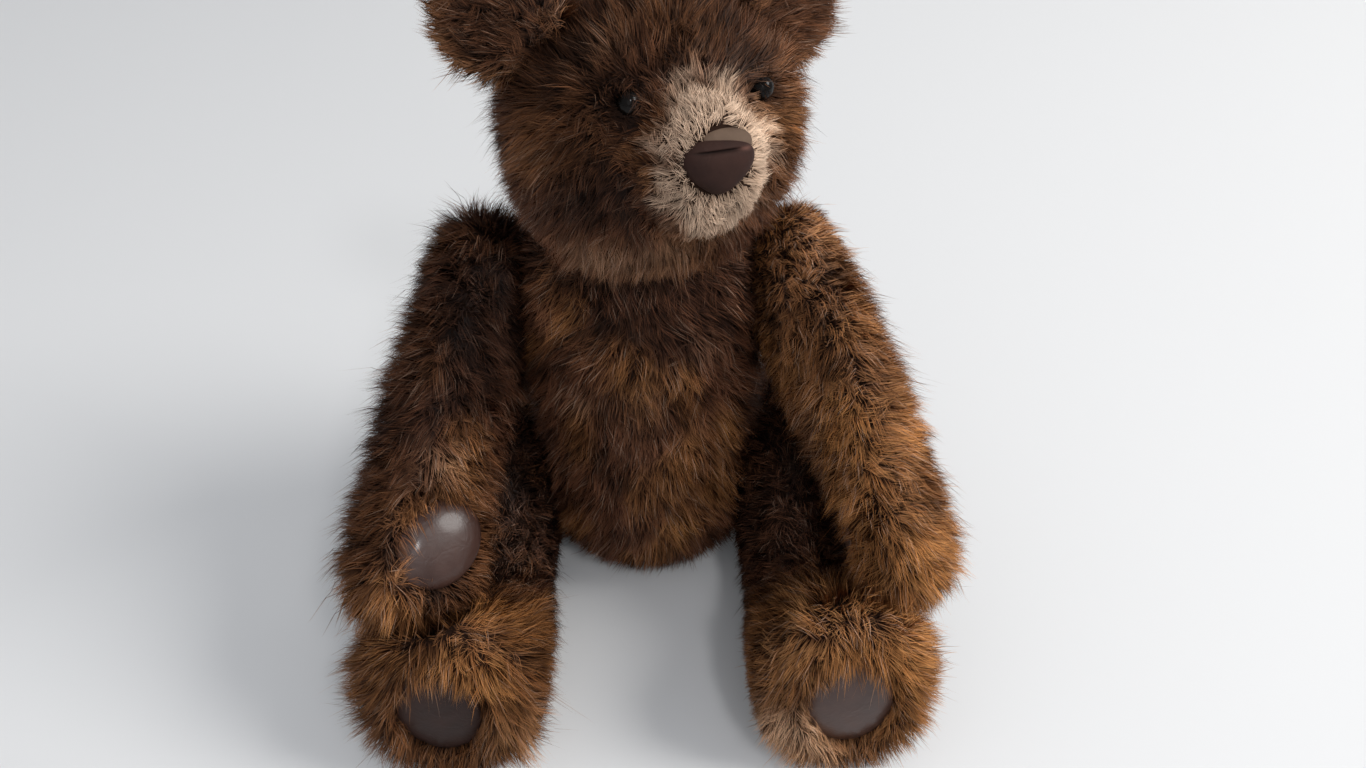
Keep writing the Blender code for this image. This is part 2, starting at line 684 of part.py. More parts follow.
palm_turn = {1: PALM_TURN_LEFT, -1: PALM_TURN_RIGHT}
for side, label in SIDES:
    arm_joint = add_joint(f"shoulder_{label}_joint", shoulders[side])
    arm = make_limb(f"arm_{label}", arm_rings(side, palm_turn[side]), shoulders[side], arm_joint)
    world_frames[arm.name] = shoulders[side]
    boolean(torso, grown(arm, REST_GAP))

    leg_joint = add_joint(f"hip_{label}_joint", hips[side])
    leg = make_limb(f"leg_{label}", leg_rings(side), hips[side], leg_joint)
    reach = LEG_REACH * 2
    floor = block(f"leg_floor_{label}", (-reach, -reach, -reach), (reach, reach, 0), Matrix())
    boolean(leg, floor)
    boolean(leg, leaving_room(arm, side))

    sole = limb_ring(
        side, LEG_REACH - FOOT_PAD_SUNK, 0, LEG_OUT + LEG_SPREAD + FOOT_PAD_OUTWARD, 1, -side, lean=SOLE_LEAN,
    )
    make_pad(
        f"foot_pad_{label}", FOOT_PAD_HALF_HEIGHT, FOOT_PAD_HALF_WIDTH, FOOT_PAD_DOME,
        hips[side] @ sole, leg_joint, leg,
    )
    section = limb_ring(side, HAND_PAD_SHARE * ARM_REACH, 0, ARM_OUT + ARM_BOW, 1, 1, palm_turn[side])
    palm = -section.col[1].xyz
    raised = section.translation + palm * (ARM_HALF_THICKNESS * 0.92 - HAND_PAD_SUNK)
    make_pad(
        f"hand_pad_{label}", HAND_PAD_HALF_LENGTH, HAND_PAD_HALF_WIDTH, HAND_PAD_DOME,
        shoulders[side] @ frame_at(raised, palm, (1, 0, 0)), arm_joint, arm,
    )
    make_joint_hardware(f"shoulder_{label}", shoulders[side], SHOULDER_DISC_RADIUS, torso, arm, arm_joint)
    make_joint_hardware(f"hip_{label}", hips[side], HIP_DISC_RADIUS, torso, leg, leg_joint)
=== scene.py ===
"""A seated fur teddy bear: combed fur over drawn-in pelts, leather pads and nose, glass eyes."""

import json
import math

import bmesh
import bpy
import numpy as np
from mathutils import Matrix, Vector
from mathutils.kdtree import KDTree


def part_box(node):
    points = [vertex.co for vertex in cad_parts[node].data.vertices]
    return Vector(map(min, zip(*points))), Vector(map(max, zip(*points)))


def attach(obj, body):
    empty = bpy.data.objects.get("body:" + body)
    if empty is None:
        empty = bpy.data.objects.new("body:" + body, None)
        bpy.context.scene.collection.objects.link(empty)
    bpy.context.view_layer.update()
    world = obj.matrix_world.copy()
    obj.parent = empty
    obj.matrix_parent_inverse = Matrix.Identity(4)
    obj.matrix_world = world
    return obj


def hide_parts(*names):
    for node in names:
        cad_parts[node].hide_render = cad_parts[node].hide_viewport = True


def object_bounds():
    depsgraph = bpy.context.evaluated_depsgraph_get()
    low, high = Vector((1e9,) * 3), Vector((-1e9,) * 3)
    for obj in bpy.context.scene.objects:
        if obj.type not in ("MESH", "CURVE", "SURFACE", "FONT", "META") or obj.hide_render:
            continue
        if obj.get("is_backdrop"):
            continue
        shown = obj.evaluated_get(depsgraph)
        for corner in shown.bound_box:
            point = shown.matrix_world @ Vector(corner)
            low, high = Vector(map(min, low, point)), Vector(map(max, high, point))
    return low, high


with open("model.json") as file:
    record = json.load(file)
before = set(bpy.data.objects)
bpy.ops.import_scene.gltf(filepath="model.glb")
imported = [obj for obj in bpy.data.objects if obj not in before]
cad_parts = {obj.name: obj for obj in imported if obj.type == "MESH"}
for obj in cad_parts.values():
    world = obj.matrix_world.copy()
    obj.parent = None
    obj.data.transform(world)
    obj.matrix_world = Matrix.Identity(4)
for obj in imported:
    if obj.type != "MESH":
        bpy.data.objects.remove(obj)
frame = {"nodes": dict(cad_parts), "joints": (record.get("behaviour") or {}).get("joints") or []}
low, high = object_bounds()
box = (np.array(low), np.array(high))
nodes = frame["nodes"]
joints = {joint["name"]: joint for joint in frame["joints"]}
rng = np.random.default_rng(11)

# Lengths in metres
HAIR_ROOM = 0.0150  # how far hair may stand past the solids' box
HAIR_FLOOR, PELT_FLOOR = 0.0006, 0.0012  # hair and pelts stay this far above the floor
PELT_DEPTH = 0.0036  # how far a pelt lies inside its solid
EAR_DEPTH = 0.0026
JOINT_DEPTH = 0.0008  # the same, where two parts lie against each other
EYE_HOLLOW, EYE_DEEP, EYE_OUT = 0.0080, -0.010, 0.003
DISC_ROOM = {"neck": 0.0215, "shoulder": 0.0165, "hip": 0.0215}
DISC_NEAR, DISC_FAR = 0.0006, 0.0150
PLUG_SIDES = 24
PAD_THICKNESS = 0.0010
TUFT_REACH = 0.006  # how near a root has to be to lean to its tuft
LOW_FUR = 0.006  # below this height, fur is pressed short
LIMBS = {
    "head": "neck", "arm_left": "shoulder_left", "arm_right": "shoulder_right",
    "leg_left": "hip_left", "leg_right": "hip_right",
}


# Objects, points, frames and noise

RAYS, RAY_SIZES = 9, (0.7, 1.6)


def add_object(name, data):
    """An object with this mesh, lamp or camera, in the scene."""
    made = bpy.data.objects.new(name, data)
    bpy.context.scene.collection.objects.link(made)
    return made


def read_rows(mesh, field):
    flat = np.empty(len(mesh.vertices) * 3)
    mesh.vertices.foreach_get(field, flat)
    return flat.reshape(-1, 3)


def points_of(mesh):
    return read_rows(mesh, "co")


def normals_of(mesh):
    return read_rows(mesh, "normal")


def unit(vectors):
    """Each vector at length 1."""
    return vectors / np.maximum(np.linalg.norm(vectors, axis=-1, keepdims=True), 1e-9)


def flat_on(vectors, normals):
    """The part of each vector that lies along the surface."""
    return vectors - normals * np.sum(vectors * normals, axis=1, keepdims=True)


def joint_frame(name, limb):
    """Origin on the joint, Z out of the torso, X towards the limb's bulk or the face."""
    joint = joints[name]
    origin = np.array(joint["pos_m"])
    z = np.array(joint["axis"])
    aim = points_of(nodes["nose" if limb == "head" else limb].data).mean(axis=0) - origin
    bulk = points_of(nodes[limb].data).mean(axis=0) - origin
    z = z if z @ bulk > 0 else -z
    x = unit(aim - z * (aim @ z))
    return origin, np.array([x, np.cross(z, x), z])


def to_local(points, place):
    """Points in a joint's own frame."""
    return (points - place[0]) @ place[1].T


def turn_local(vectors, place):
    """Directions in a joint's own frame."""
    return vectors @ place[1].T


def turn_back(vectors, place):
    """Directions from a joint's own frame."""
    return vectors @ place[1]


def waves(points, size, seed, channels=1):
    """Smooth noise from -1 to 1, as a sum of plane waves about one size long."""
    spin = np.random.default_rng(seed)
    total = np.zeros((len(points), channels))
    for channel in range(channels):
        for _ in range(RAYS):
            ray = unit(spin.normal(size=3)) * 2 * math.pi / (size * spin.uniform(*RAY_SIZES))
            total[:, channel] += np.sin(points @ ray + spin.uniform(0, 2 * math.pi))
    return total / RAYS**0.5 * 0.9


def wave(points, size, seed):
    """The same noise, as one number a point."""
    return waves(points, size, seed)[:, 0]


def step(value, start, end):
    """0 before start, 1 past end, and smooth between them."""
    share = np.clip((value - start) / (end - start), 0, 1)
    return share * share * (3 - 2 * share)


# Pelts

# How far a skin has to face its neighbour, and how near it has to lie, to count as beside it
FACING, TOUCHING = (0.45, 0.85), (0.005, 0.010)
# Where skins lie against each other at a joint, hair is shorter and darker in tone: the darkening is
# painted shade between the parts
BESIDE_SHORTER, BESIDE_PAINTED_SHADE = 0.55, 0.15
LOW_SHORTER = 0.6


def plug(bm, place, radius, near, far):
    """Fills a joint pocket, so that the pelt over it is whole."""
    rows = place[1]
    turn = Matrix([list(row) for row in rows]).transposed().to_4x4()
    middle = Vector(place[0]) + Vector(rows[2]) * (near + far) / 2
    bmesh.ops.create_cone(
        bm, cap_ends=True, segments=PLUG_SIDES, radius1=radius, radius2=radius, depth=abs(far - near),
        matrix=Matrix.Translation(middle) @ turn,
    )


def beside_joints(spots, normals, flats):
    """1 where a skin lies flat against its neighbour at a joint, 0 elsewhere."""
    share = np.zeros(len(spots))
    for place, sign in flats:
        deep = np.abs(to_local(spots, place)[:, 2])
        facing = turn_local(normals, place)[:, 2] * sign
        share = np.maximum(share, step(facing, *FACING) * (1 - step(deep, *TOUCHING)))
    return share


def make_pelt(node, body, plugs, sewn_on, flats, depth, grain):
    """An even, closed skin a little inside a soft solid. The fur grows from it."""
    bm = bmesh.new()
    bm.from_mesh(nodes[node].data)
    for other in sewn_on:
        bm.from_mesh(nodes[other].data)
    for place, radius, near, far in plugs:
        plug(bm, place, radius, near, far)
    mesh = bpy.data.meshes.new(node + "_pelt")
    bm.to_mesh(mesh)
    bm.free()
    source = add_object(node + "_pelt", mesh)
    remesh = source.modifiers.new("even", "REMESH")
    remesh.mode = "VOXEL"
    remesh.voxel_size = grain
    soften = source.modifiers.new("soften", "SMOOTH")
    soften.factor = 0.5
    soften.iterations = 4
    depsgraph = bpy.context.evaluated_depsgraph_get()
    made = bpy.data.meshes.new_from_object(source.evaluated_get(depsgraph))
    made.name = node + "_pelt"
    bpy.data.objects.remove(source)
    bpy.data.meshes.remove(mesh)
    made.materials.clear()
    made.materials.append(pelt_material)
    made.shade_smooth()
    spots, normals = points_of(made), normals_of(made)
    inset = depth + (JOINT_DEPTH - depth) * beside_joints(spots, normals, flats)
    spots = spots - normals * inset[:, None]
    spots[:, 2] = np.maximum(spots[:, 2], PELT_FLOOR)
    made.vertices.foreach_set("co", spots.ravel())
    made.update()
    pelt = add_object(node + "_pelt", made)
    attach(pelt, body)
    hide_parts(node)
    return pelt


def scatter(pelt, count):
    """Even random spots on a pelt, with the pelt's normals there."""
    mesh = pelt.data
    mesh.calc_loop_triangles()
    corners = np.empty(len(mesh.loop_triangles) * 3, dtype=int)
    mesh.loop_triangles.foreach_get("vertices", corners)
    corners = corners.reshape(-1, 3)
    spots, normals = points_of(mesh), normals_of(mesh)
    a, b, c = spots[corners[:, 0]], spots[corners[:, 1]], spots[corners[:, 2]]
    area = np.linalg.norm(np.cross(b - a, c - a), axis=1)
    picked = rng.choice(len(corners), size=count, p=area / area.sum())
    u, v = rng.random(count), rng.random(count)
    over = u + v > 1
    u[over], v[over] = 1 - u[over], 1 - v[over]
    weights = np.stack([1 - u - v, u, v], axis=1)[:, :, None]
    tri = corners[picked]
    return (spots[tri] * weights).sum(axis=1), unit((normals[tri] * weights).sum(axis=1))


# Fur

ROOT = np.array([0.012, 0.0048, 0.0030])
BROWN = np.array([0.098, 0.034, 0.0160])
BROWN_TIP = np.array([0.300, 0.125, 0.064])
GOLD = np.array([0.335, 0.110, 0.026])
GOLD_TIP = np.array([0.720, 0.335, 0.115])
TAN = np.array([0.450, 0.302, 0.205])
TAN_TIP = np.array([0.880, 0.655, 0.480])
PALE_TIP = np.array([0.640, 0.440, 0.320])
PALE_HAIRS = 0.15

# How much tufts differ from each other, and hairs within a tuft
TUFT_SWAY, HAIR_SWAY = 0.58, 0.24
TUFT_TONE, HAIR_TONE, WAVE_TONE = 0.10, 0.13, 0.12
TUFT_LIFT, HAIR_LIFT, LIFT_RANGE = 0.20, 0.14, (0.06, 1.42)
TUFT_LENGTH, HAIR_LENGTH, LENGTH_RANGE = 0.16, 0.16, (0.35, 1.7)
TONE_RANGE = (0.16, 1.8)

# How a hair bends on its way: with the flow, into the skin, with its tuft's sway, and down
FLOW_BEND, SKIN_BEND, SWAY_BEND = 0.45, 0.12, 0.10
DROOP = np.array([0, 0, 0.10])
CURVED_PULL, STRAIGHT_PULL = 0.50, 0.35  # how far a tip is drawn to its tuft's tip
TWIST, TAPER, ROUNDNESS = 0.35, 0.55, 0.45

# Broad patches of the coat, on the resting bear, some of them painted shade and painted light: place,
# size, then added tone, gold and tan
PATCHES_WITH_PAINTED_LIGHT = {
    "head": (
        ((0.031, -0.027, 0.320), 0.022, 0.02, 0.35, 0.0),
        ((-0.020, -0.030, 0.318), 0.016, -0.26, -0.1, 0.0),
        ((-0.006, -0.040, 0.318), 0.010, 0.16, 0.0, 0.15),
        ((-0.009, -0.069, 0.286), 0.016, -0.28, 0.0, -0.4),
        ((-0.010, -0.071, 0.266), 0.014, -0.32, 0.0, -0.4),
        ((-0.035, -0.052, 0.283), 0.016, 0.05, 0.10, 0.0),
        ((0.007, -0.074, 0.284), 0.006, 0.10, 0.70, 0.0),
        ((0.072, -0.028, 0.288), 0.020, 0.16, 0.55, 0.0),
        ((0.066, -0.046, 0.262), 0.015, 0.16, 0.55, 0.0),
        ((0.005, -0.060, 0.308), 0.011, -0.25, -0.1, -0.4),
        ((0.066, -0.028, 0.292), 0.010, -0.30, -0.1, -0.5),
        ((0.035, -0.065, 0.240), 0.014, 0.10, 0.40, 0.10),
        ((-0.012, -0.058, 0.237), 0.014, 0.22, 0.35, 0.25),
        ((0.014, -0.062, 0.234), 0.014, 0.20, 0.25, 0.25),
        ((0.056, -0.044, 0.291), 0.008, 0.12, 0.40, 0.30),
    ),
    "torso": (
        ((-0.035, -0.030, 0.197), 0.014, 0.15, 0.35, 0.0),
        # Painted shadow of the chin on the top of the chest: these two dark patches
        ((0.030, -0.036, 0.198), 0.022, -0.34, -0.2, 0.0),
        ((-0.004, -0.036, 0.206), 0.020, -0.30, -0.2, 0.0),
        ((-0.008, -0.045, 0.171), 0.013, 0.14, 0.45, 0.0),
        ((0.000, -0.050, 0.143), 0.013, 0.14, 0.35, 0.05),
        ((0.013, -0.045, 0.165), 0.010, -0.12, -0.1, 0.0),
        ((0.030, -0.040, 0.169), 0.009, 0.10, 0.0, 0.12),
        ((-0.030, -0.044, 0.138), 0.007, 0.18, 0.20, 0.15),
        ((0.043, -0.039, 0.110), 0.013, 0.10, 0.70, 0.0),
        ((0.038, -0.045, 0.079), 0.016, 0.08, 0.70, 0.0),
        ((-0.028, -0.049, 0.101), 0.016, -0.10, -0.1, 0.0),
        ((0.018, -0.056, 0.059), 0.010, 0.16, 0.80, 0.0),
    ),
    "arm_right": (
        ((-0.075, 0.001, 0.210), 0.016, 0.02, 0.10, 0.0),
        ((-0.060, -0.028, 0.178), 0.028, -0.22, -0.2, 0.0),
        ((-0.103, -0.036, 0.179), 0.018, 0.05, 0.15, 0.0),
        ((-0.091, -0.083, 0.139), 0.009, 0.12, 0.30, 0.20),
        ((-0.066, -0.080, 0.130), 0.014, 0.16, 0.90, 0.0),
        ((-0.068, -0.100, 0.110), 0.014, 0.16, 0.85, 0.0),
        ((-0.113, -0.135, 0.098), 0.010, 0.22, 0.90, 0.05),
        ((-0.111, -0.101, 0.131), 0.014, 0.02, 0.20, 0.0),
    ),
    "arm_left": (
        ((0.096, 0.010, 0.200), 0.020, 0.10, 0.30, 0.08),
        ((0.074, -0.024, 0.189), 0.012, -0.10, 0.0, 0.0),
        # On this arm's outer side, towards the window, the gold patches are partly the fur's own gold
        # and partly painted rim light
        ((0.118, -0.030, 0.190), 0.020, 0.20, 0.50, 0.0),
        ((0.134, -0.070, 0.150), 0.022, 0.20, 0.55, 0.0),
        ((0.093, -0.065, 0.155), 0.009, 0.26, 1.00, 0.05),
        ((0.108, -0.085, 0.141), 0.014, 0.12, 0.60, 0.0),
        ((0.080, -0.062, 0.140), 0.011, -0.06, -0.3, 0.10),
        ((0.088, -0.069, 0.118), 0.012, -0.10, -0.3, 0.08),
        ((0.111, -0.114, 0.118), 0.020, 0.05, 0.35, 0.0),
        ((0.134, -0.123, 0.106), 0.020, 0.16, 0.60, 0.0),
    ),
    "leg_right": (
        ((-0.080, -0.125, 0.090), 0.014, 0.14, 0.80, 0.0),
        ((-0.092, -0.161, 0.077), 0.010, 0.20, 0.90, 0.05),
        ((-0.073, -0.160, 0.070), 0.010, 0.16, 0.90, 0.0),
        ((-0.102, -0.135, 0.088), 0.009, -0.24, -0.2, 0.0),
        ((-0.062, -0.166, 0.040), 0.012, 0.20, 0.70, 0.15),
        ((-0.052, -0.129, 0.049), 0.020, -0.08, 0.20, 0.0),
    ),
    "leg_left": (
        ((0.088, -0.134, 0.092), 0.016, 0.08, 0.30, 0.08),
        ((0.080, -0.105, 0.082), 0.008, 0.20, 0.30, 0.25),
        ((0.066, -0.146, 0.079), 0.012, 0.08, 0.20, 0.10),
        ((0.069, -0.169, 0.038), 0.015, 0.44, 0.55, 0.60),
        ((0.084, -0.172, 0.022), 0.014, 0.28, 0.50, 0.35),
        ((0.095, -0.159, 0.081), 0.010, 0.12, 0.50, 0.0),
        ((0.124, -0.152, 0.078), 0.016, 0.12, 0.50, 0.0),
        ((0.133, -0.160, 0.048), 0.020, 0.12, 0.60, 0.0),
    ),
}


def patched(roots, piece):
    """The tone, gold and tan that the coat's patches add at each root, painted shade and painted
    light among them.
    """
    spots = roots + waves(roots, 0.020, 61, 3) * 0.003
    added = np.zeros((len(roots), 3))
    for place, size, *change in PATCHES_WITH_PAINTED_LIGHT.get(piece, ()):
        near = np.exp(-((np.linalg.norm(spots - np.array(place), axis=1) / size) ** 2))
        added += near[:, None] * np.array(change)
    return added.T


def mix(first, second, share):
    """A share of the second colour in the first, for each hair."""
    return first + (second - first) * np.clip(share, 0, 1)[:, None]


def clumps(roots, size):
    """For each root, the index of the root that its tuft leans to."""
    count = max(8, int(len(roots) / size))
    chosen = rng.choice(len(roots), size=count, replace=False)
    finder = KDTree(count)
    for n, spot in enumerate(roots[chosen]):
        finder.insert(spot, n)
    finder.balance()
    return chosen[np.array([finder.find(spot)[1] for spot in roots])]


def within_room(roots, tips):
    """The share of each hair that stays inside the bear's box and a margin round it."""
    share = np.ones(len(roots))
    for bound, sign in zip(box, (-1, 1)):
        past = sign * (tips - bound) - HAIR_ROOM
        run = np.maximum(sign * (tips - roots), 1e-6)
        share = np.minimum(share, np.where(past > 0, 1 - past / run, 1).min(axis=1))
    return np.clip(share, 0.1, 1)


def ribbon_mesh(name, verts, bends):
    """One narrow ribbon a hair: quads along it and a triangle at its tip."""
    count, per = verts.shape[:2]
    mesh = bpy.data.meshes.new(name)
    mesh.vertices.add(count * per)
    mesh.vertices.foreach_set("co", verts.ravel())
    corners = []
    for n in range(bends - 1):
        corners += [2 * n, 2 * n + 1, 2 * n + 3, 2 * n + 2]
    corners += [2 * bends - 2, 2 * bends - 1, 2 * bends]
    sides = [4] * (bends - 1) + [3]
    order = np.arange(count)[:, None]
    loops = (order * per + np.array(corners)).ravel()
    mesh.loops.add(len(loops))
    mesh.loops.foreach_set("vertex_index", loops)
    mesh.polygons.add(count * len(sides))
    starts = order * len(corners) + np.cumsum([0] + sides[:-1])
    mesh.polygons.foreach_set("loop_start", starts.ravel())
    mesh.polygons.foreach_set("loop_total", np.tile(sides, count))
    mesh.update(calc_edges=True)
    return mesh


def hair_colours(roots, lighter, tone, gold, tan, bends):
    """A colour for each point of each hair: dark at the root, paler at the tip."""
    count = len(roots)
    shade = tone + HAIR_TONE * rng.normal(size=count) + TUFT_TONE * lighter
    shade += WAVE_TONE * wave(roots, 0.009, 62)
    pale = (rng.random(count) < PALE_HAIRS) * (bends > 1) * np.clip(0.5 + tone, 0, 1)
    deep = mix(mix(BROWN, GOLD, gold), TAN, tan)
    tip = mix(mix(mix(BROWN_TIP, GOLD_TIP, gold), TAN_TIP, tan), PALE_TIP, pale)
    colour = np.ones((count, 2 * bends + 1, 4))
    for n in range(bends + 1):
        if n:
            fade = (n / bends - 0.3) * 1.4 * np.clip(0.35 + shade + pale, 0, 1.4)
            here = mix(deep, tip, fade)
        else:
            here = mix(ROOT, deep, 0.25 + 0.65 * tan)
        here = here * np.clip(0.45 + 1.2 * shade, *TONE_RANGE)[:, None]
        colour[:, 2 * n:2 * n + 2, :3] = here[:, None]
    return colour


def grow(name, body, roots, normals, flow, length, lift, width, tone, gold, tan, tuft, bends):
    """Ribbons of hair in tufts. bends is 1 for a single blade, 2 or more for curved hair."""
    count = len(roots)
    flow = unit(flat_on(flow, normals))
    member = clumps(roots, tuft)
    sway = rng.normal(size=(count, 3))
    sway = sway[member] * TUFT_SWAY + sway * HAIR_SWAY
    tufted = rng.normal(size=count)[member]
    spread = 1 + TUFT_LIFT * tufted + HAIR_LIFT * rng.normal(size=count)
    lift = np.clip(lift * spread, *LIFT_RANGE)
    spread = 1 + TUFT_LENGTH * tufted[::-1] + HAIR_LENGTH * rng.normal(size=count)
    length = length * np.clip(spread, *LENGTH_RANGE)
    heading = unit(flow + flat_on(sway, normals))
    first = unit(normals * np.sin(lift)[:, None] + heading * np.cos(lift)[:, None])
    along = [roots]
    direction = first
    for _ in range(bends):
        along.append(along[-1] + direction * (length / bends)[:, None])
        turn = FLOW_BEND * flow - SKIN_BEND * normals + SWAY_BEND * sway - DROOP
        direction = unit(direction + turn)
    centre = [spots[member] for spots in along]
    close = np.exp(-((np.linalg.norm(roots - roots[member], axis=1) / TUFT_REACH) ** 2))
    for n in range(1, bends + 1):
        pull = (CURVED_PULL if bends > 1 else STRAIGHT_PULL) * (n / bends) ** 1.5
        along[n] = along[n] + (centre[n] - along[n]) * (pull * close)[:, None]
    share = within_room(roots, along[bends])[:, None]
    along = [roots + (spots - roots) * share for spots in along]
    for spots in along:
        spots[:, 2] = np.maximum(spots[:, 2], HAIR_FLOOR)
    side = unit(np.cross(first, normals) + TWIST * rng.normal(size=(count, 3)))
    verts = np.empty((count, 2 * bends + 1, 3))
    for n in range(bends):
        half = side * (width * (1 - TAPER * n / bends) / 2)[:, None]
        verts[:, 2 * n] = along[n] - half
        verts[:, 2 * n + 1] = along[n] + half
    verts[:, 2 * bends] = along[bends]
    mesh = ribbon_mesh(name, verts, bends)
    layer = mesh.color_attributes.new("fur_colour", "FLOAT_COLOR", "POINT")
    colours = hair_colours(roots, tufted, tone, gold, tan, bends)
    layer.data.foreach_set("color", colours.ravel())
    facing = np.repeat(unit(normals + ROUNDNESS * first), 2 * bends + 1, axis=0)
    mesh.shade_smooth()
    mesh.normals_split_custom_set_from_vertices(facing)
    mesh.materials.append(fur_material)
    hair = add_object(name, mesh)
    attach(hair, body)


# Materials

def new_material(name, roughness, colour=(0.5, 0.5, 0.5), specular=0.5):
    """A plain material, with its nodes and its shader."""
    material = bpy.data.materials.new(name)
    material.use_nodes = True
    shader = material.node_tree.nodes["Principled BSDF"]
    shader.inputs["Roughness"].default_value = roughness
    shader.inputs["Base Color"].default_value = (*colour, 1)
    shader.inputs["Specular IOR Level"].default_value = specular
    return material, material.node_tree, shader


def add_node(tree, kind, inputs=None, **settings):
    """A node with its settings, and its inputs set or linked."""
    node = tree.nodes.new(kind)
    for key, value in settings.items():
        setattr(node, key, value)
    for key, value in (inputs or {}).items():
        if isinstance(value, bpy.types.NodeSocket):
            tree.links.new(value, node.inputs[key])
        else:
            node.inputs[key].default_value = value
    return node


def ramp(tree, factor, *stops):
    """A colour ramp with two stops, each a place and a colour."""
    node = add_node(tree, "ShaderNodeValToRGB", {"Fac": factor})
    for element, (place, colour) in zip(node.color_ramp.elements, stops):
        element.position, element.color = place, (*colour, 1)
    return node.outputs["Color"]


fur_material, tree, shader = new_material("combed_fur", 0.50, specular=0.14)
hue = add_node(tree, "ShaderNodeAttribute", attribute_name="fur_colour")
tree.links.new(hue.outputs["Color"], shader.inputs["Base Color"])
pelt_material = new_material("fur_pelt", 0.9, (0.018, 0.008, 0.0045), 0.1)[0]
eye_glass = new_material("eye_glass", 0.07, (0.004, 0.0028, 0.0022), 0.13)[0]
board = new_material("hardboard", 0.8, (0.22, 0.13, 0.07))[0]
steel, tree, shader = new_material("zinc_steel", 0.35, (0.6, 0.6, 0.58))
shader.inputs["Metallic"].default_value = 0.9


BLOTCHES, FOLDS = 70.0, 130.0
PEBBLE_DEPTH, FOLD_DEPTH = 0.0002, 0.0008
BLOTCH_FROM, BLOTCH_TO = 0.3, 0.7


def leather(name, dark, light, roughness, grain, specular):
    """Pebbled, folded leather, unevenly dark and unevenly glossy."""
    material, tree, shader = new_material(name, roughness, specular=specular)
    place = add_node(tree, "ShaderNodeTexCoord").outputs["Object"]
    broad = add_node(tree, "ShaderNodeTexNoise", {"Vector": place, "Scale": BLOTCHES, "Detail": 5.0})
    cells = add_node(
        tree, "ShaderNodeTexVoronoi", {"Vector": place, "Scale": grain},
        feature="DISTANCE_TO_EDGE",
    )
    fold = add_node(tree, "ShaderNodeTexNoise", {
        "Vector": place, "Scale": FOLDS, "Detail": 3.0, "Distortion": 1.2,
    })
    tone = ramp(tree, broad.outputs["Fac"], (BLOTCH_FROM, dark), (BLOTCH_TO, light))
    tree.links.new(tone, shader.inputs["Base Color"])
    pebble = add_node(tree, "ShaderNodeBump", {
        "Height": cells.outputs["Distance"], "Strength": 0.22, "Distance": PEBBLE_DEPTH,
    })
    crease = add_node(tree, "ShaderNodeBump", {
        "Height": fold.outputs["Fac"], "Strength": 0.5, "Distance": FOLD_DEPTH,
        "Normal": pebble.outputs["Normal"],
    })
    tree.links.new(crease.outputs["Normal"], shader.inputs["Normal"])
    rough = add_node(tree, "ShaderNodeMapRange", {
        "Value": broad.outputs["Fac"], "From Min": BLOTCH_FROM, "From Max": BLOTCH_TO,
        "To Min": roughness - 0.08, "To Max": roughness + 0.12,
    })
    tree.links.new(rough.outputs["Result"], shader.inputs["Roughness"])
    return material, tree, shader


pad_leather, tree, shader = leather(
    "pad_leather", (0.038, 0.0172, 0.0128), (0.066, 0.0325, 0.0245), 0.38, 1500, 0.30,
)
shader.inputs["Coat Weight"].default_value = 0.25
shader.inputs["Coat Roughness"].default_value = 0.15
# A darker copy of the pad leather: painted shade for the right foot's pad, on the side away from the
# window
pad_leather_in_painted_shade = leather(
    "pad_leather_painted_shade", (0.019, 0.0090, 0.0072), (0.036, 0.0180, 0.0145), 0.44, 1500, 0.17,
)[0]
lip_suede = leather(
    "lip_suede", (0.088, 0.056, 0.039), (0.150, 0.100, 0.070), 0.80, 1500, 0.15,
)[0]
nose_leather, tree, shader = leather(
    "nose_leather", (0.019, 0.0078, 0.0056), (0.040, 0.0180, 0.0135), 0.72, 2200, 0.15,
)
# The nose's colour is multiplied by painted shade in the crease and by its pale scuff
crease_shade_and_scuff = add_node(tree, "ShaderNodeAttribute", attribute_name="crease_shade_and_scuff")
leather_before_shade_and_scuff = shader.inputs["Base Color"].links[0].from_socket
tint = add_node(
    tree, "ShaderNodeVectorMath", {0: leather_before_shade_and_scuff, 1: crease_shade_and_scuff.outputs["Color"]}, operation="MULTIPLY",
)
tree.links.new(tint.outputs["Vector"], shader.inputs["Base Color"])

for name, node in nodes.items():
    if "eye" in name:
        node.modifiers.new("joined", "WELD").merge_threshold = 0.00002
        smoother = node.modifiers.new("smoother", "SUBSURF")
        smoother.levels = smoother.render_levels = 2
    kind = (
        pad_leather if "pad" in name else nose_leather if name == "nose"
        else eye_glass if "eye" in name else board if "disc" in name else steel
    )
    for spot in node.material_slots:
        spot.material = kind

places = {limb: joint_frame(name, limb) for limb, name in LIMBS.items()}


def room(name, sign):
    """The pocket of one joint, on the torso's side (-1) or the limb's (1)."""
    limb = next(part for part, joint in LIMBS.items() if joint == name)
    return places[limb], DISC_ROOM[name.split("_")[0]], sign * DISC_NEAR, sign * DISC_FAR


# Pads

# Shift to the bear's left and up, and turn, of a pad that lies askew
ASKEW = {"hand_pad_right": (0.0035, 0.0005, math.radians(-35))}
PAD_NEAR = 0.016  # roots this close to the pad's plane count as beside it
FAR_OUT = 9.0


def middle(node):
    """The middle of a solid's box."""
    low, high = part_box(node)
    return (np.array(low) + np.array(high)) / 2


def askew(node, u, v, back=False):
    """Turns and shifts a spot in a pad's plane, or takes it back."""
    across, rise, turn = ASKEW.get(node, (0.0, 0.0, 0.0))
    cos, sin = math.cos(turn), math.sin(turn)
    if back:
        u, v = u - across, v - rise
        return u * cos + v * sin, v * cos - u * sin
    return u * cos - v * sin + across, u * sin + v * cos + rise


def pad_plane(node):
    """Centre of a domed pad, its outward normal with its in-plane directions, and its spots."""
    spots = points_of(nodes[node].data)
    centre = spots.mean(axis=0)
    vectors = np.linalg.eigh(np.cov((spots - centre).T))[1]
    for n, axis in ((1, 0), (2, 2)):
        vectors[:, n] *= np.sign(vectors[axis, n])
    return centre, vectors, spots - centre


